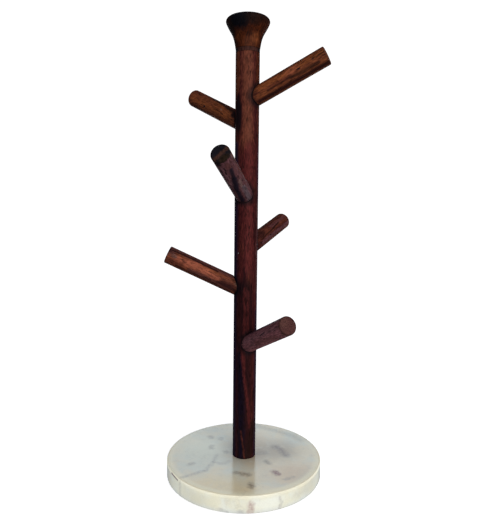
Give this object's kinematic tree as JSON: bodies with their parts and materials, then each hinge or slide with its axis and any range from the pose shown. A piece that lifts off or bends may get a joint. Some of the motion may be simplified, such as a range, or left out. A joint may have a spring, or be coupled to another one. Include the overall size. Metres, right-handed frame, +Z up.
{
  "type": "mug tree",
  "caption": "Free-standing mug tree: round marble base, turned dark wood post with a flared finial, and straight round pegs that slope upwards around it.",
  "frame": {"origin": "on the table surface under the centre of the round base, which is the post's axis", "axes": "+Z up along the post, -Y towards the front, +X to the right seen from the front"},
  "size_m": [0.1521, 0.15, 0.4316],
  "materials": {
    "marble": "polished",
    "stained_wood": "satin",
    "ebonised_wood": "satin",
    "bare_wood": "matte",
    "zinc_steel": "satin",
    "brass": "satin",
    "rubber_pad": "matte"
  },
  "bodies": {
    "root": {"base_disc": "marble", "post": "stained_wood", "joint_collar": "ebonised_wood", "finial": "stained_wood", "finial_dowel": "bare_wood", "peg_1": "stained_wood", "peg_2": "stained_wood", "peg_3": "stained_wood", "peg_4": "stained_wood", "peg_5": "stained_wood", "peg_6": "stained_wood", "flat_washer": "zinc_steel", "spring_washer": "zinc_steel", "base_bolt": "zinc_steel", "threaded_insert": "brass", "foot_pad_1": "rubber_pad", "foot_pad_2": "rubber_pad", "foot_pad_3": "rubber_pad", "foot_pad_4": "rubber_pad"}
  },
  "joints": []
}
